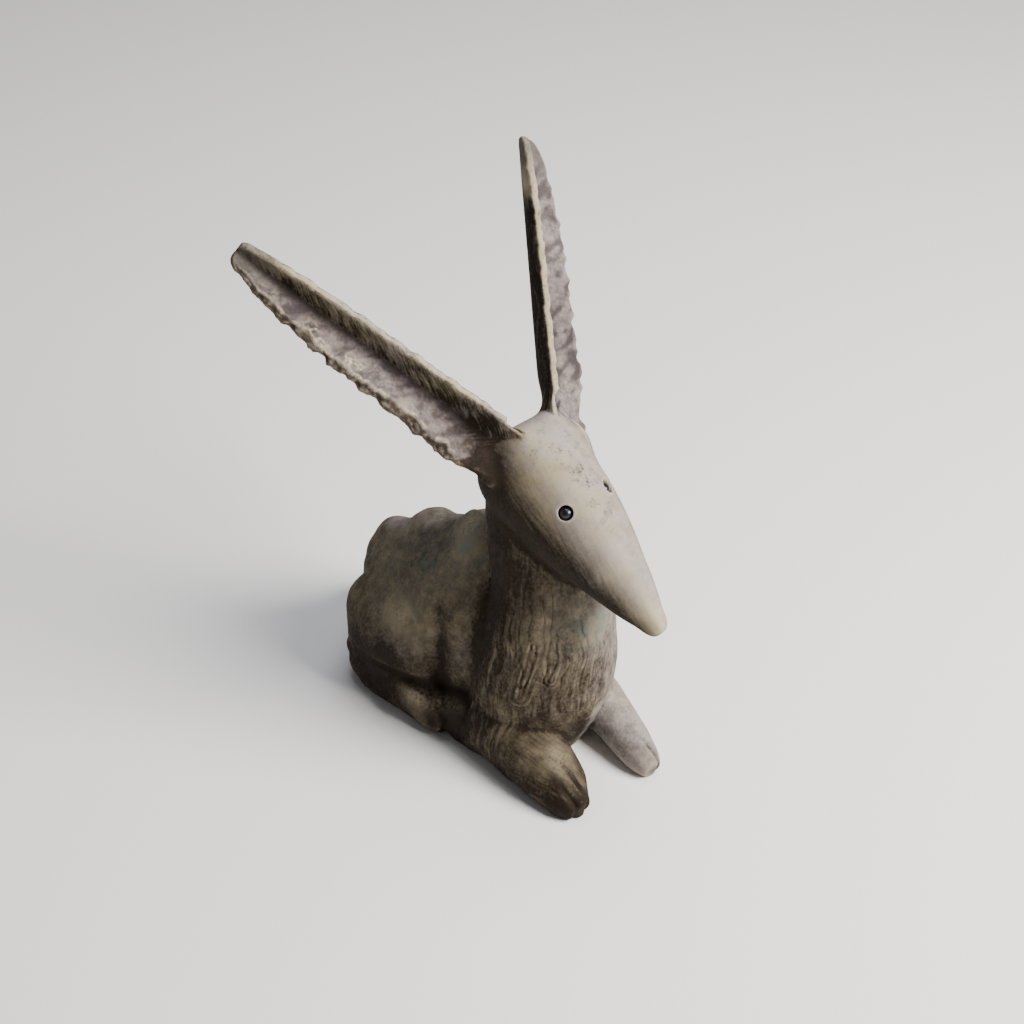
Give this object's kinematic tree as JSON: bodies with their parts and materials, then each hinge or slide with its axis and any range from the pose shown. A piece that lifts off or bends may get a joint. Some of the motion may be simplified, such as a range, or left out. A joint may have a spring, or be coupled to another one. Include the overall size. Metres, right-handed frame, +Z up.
{
  "type": "long-eared fox garden statue",
  "caption": "Garden statue of a lying fox with a pointed snout and very long upright ears, cast as one piece of weathered stoneware, with set-in dark glass eyes.",
  "frame": {"origin": "on the ground under the trunk, in the animal's middle plane", "axes": "+Z up, -Y the way the animal faces, +X its left side"},
  "size_m": [0.172, 0.2133, 0.2718],
  "materials": {
    "stoneware": "matt weathered stoneware, cream on the high spots, dark brown in the grooves",
    "eye_glass": "glossy blue-black opaque glass"
  },
  "bodies": {
    "root": {"fox_statue": "stoneware", "right_eye_bead": "eye_glass", "left_eye_bead": "eye_glass"}
  },
  "joints": []
}
